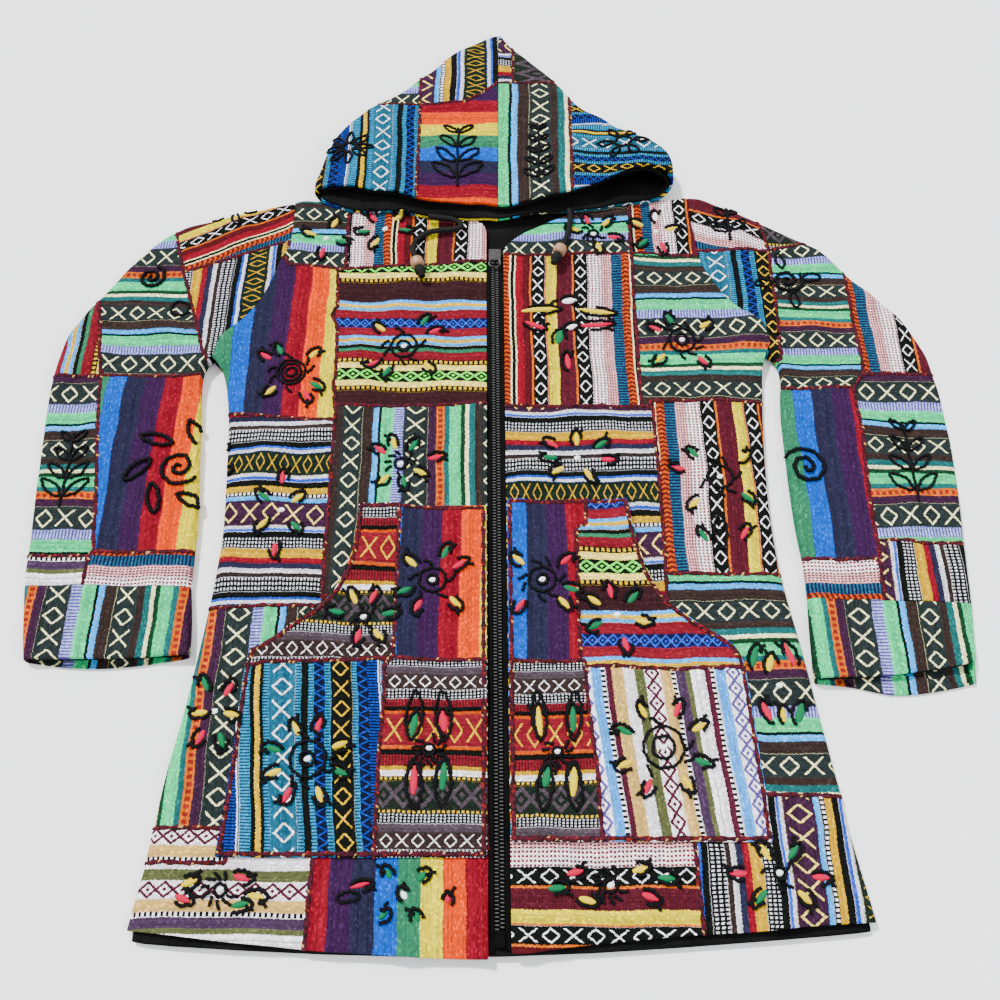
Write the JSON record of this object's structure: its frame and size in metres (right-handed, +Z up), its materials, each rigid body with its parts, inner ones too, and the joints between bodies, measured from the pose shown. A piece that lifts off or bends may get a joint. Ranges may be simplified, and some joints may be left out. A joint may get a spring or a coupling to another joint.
{
  "type": "hooded patchwork jacket",
  "caption": "Long hooded jacket of striped patchwork cotton with a fleece lining, front zip, slanted patch pockets and a beaded drawcord, laid flat with the zip closed.",
  "frame": {"origin": "on the floor under the middle of the laid jacket's bounding box", "axes": "+X to the viewer's right across the front, +Y from the hem to the hood, +Z up from the floor"},
  "size_m": [0.8838, 1.024, 0.0446],
  "materials": {
    "striped_cotton": "woven cotton in many stripes, matte",
    "rainbow_cotton": "woven cotton in wide bright stripes, matte",
    "teal_cotton": "woven cotton in teal stripes, matte",
    "black_fleece": "black polyester fleece, napped",
    "black_zip": "black moulded teeth on woven tape",
    "dark_metal": "dark grey plated metal",
    "black_braid": "black braided cord",
    "turned_wood": "plain turned wood, satin"
  },
  "bodies": {
    "jacket": {"back": "striped_cotton", "lining": "black_fleece", "front_left": "striped_cotton", "front_right": "striped_cotton", "sleeve_left": "teal_cotton", "sleeve_right": "teal_cotton", "cuff_left": "striped_cotton", "cuff_right": "striped_cotton", "sleeve_lining_left": "black_fleece", "sleeve_lining_right": "black_fleece", "pocket_left": "rainbow_cotton", "pocket_right": "rainbow_cotton", "hood_left": "teal_cotton", "hood_right": "teal_cotton", "hood_lining": "black_fleece", "zip_tape_left": "black_zip", "zip_tape_right": "black_zip", "zip_chain": "black_zip", "zip_box": "black_zip", "zip_slider": "dark_metal", "drawcord_left": "black_braid", "drawcord_right": "black_braid", "cord_knot_left": "black_braid", "cord_knot_right": "black_braid", "bead_left": "turned_wood", "bead_right": "turned_wood"},
    "pull_tab": {"pull_tab": "dark_metal"}
  },
  "joints": [
    {"name": "pull_tab_turn", "type": "hinge", "parent": "jacket", "child": "pull_tab", "pos_m": [-0.00048, 0.1655, 0.01445], "axis": [-1, 0, 0], "range_deg": [0, 150]}
  ]
}
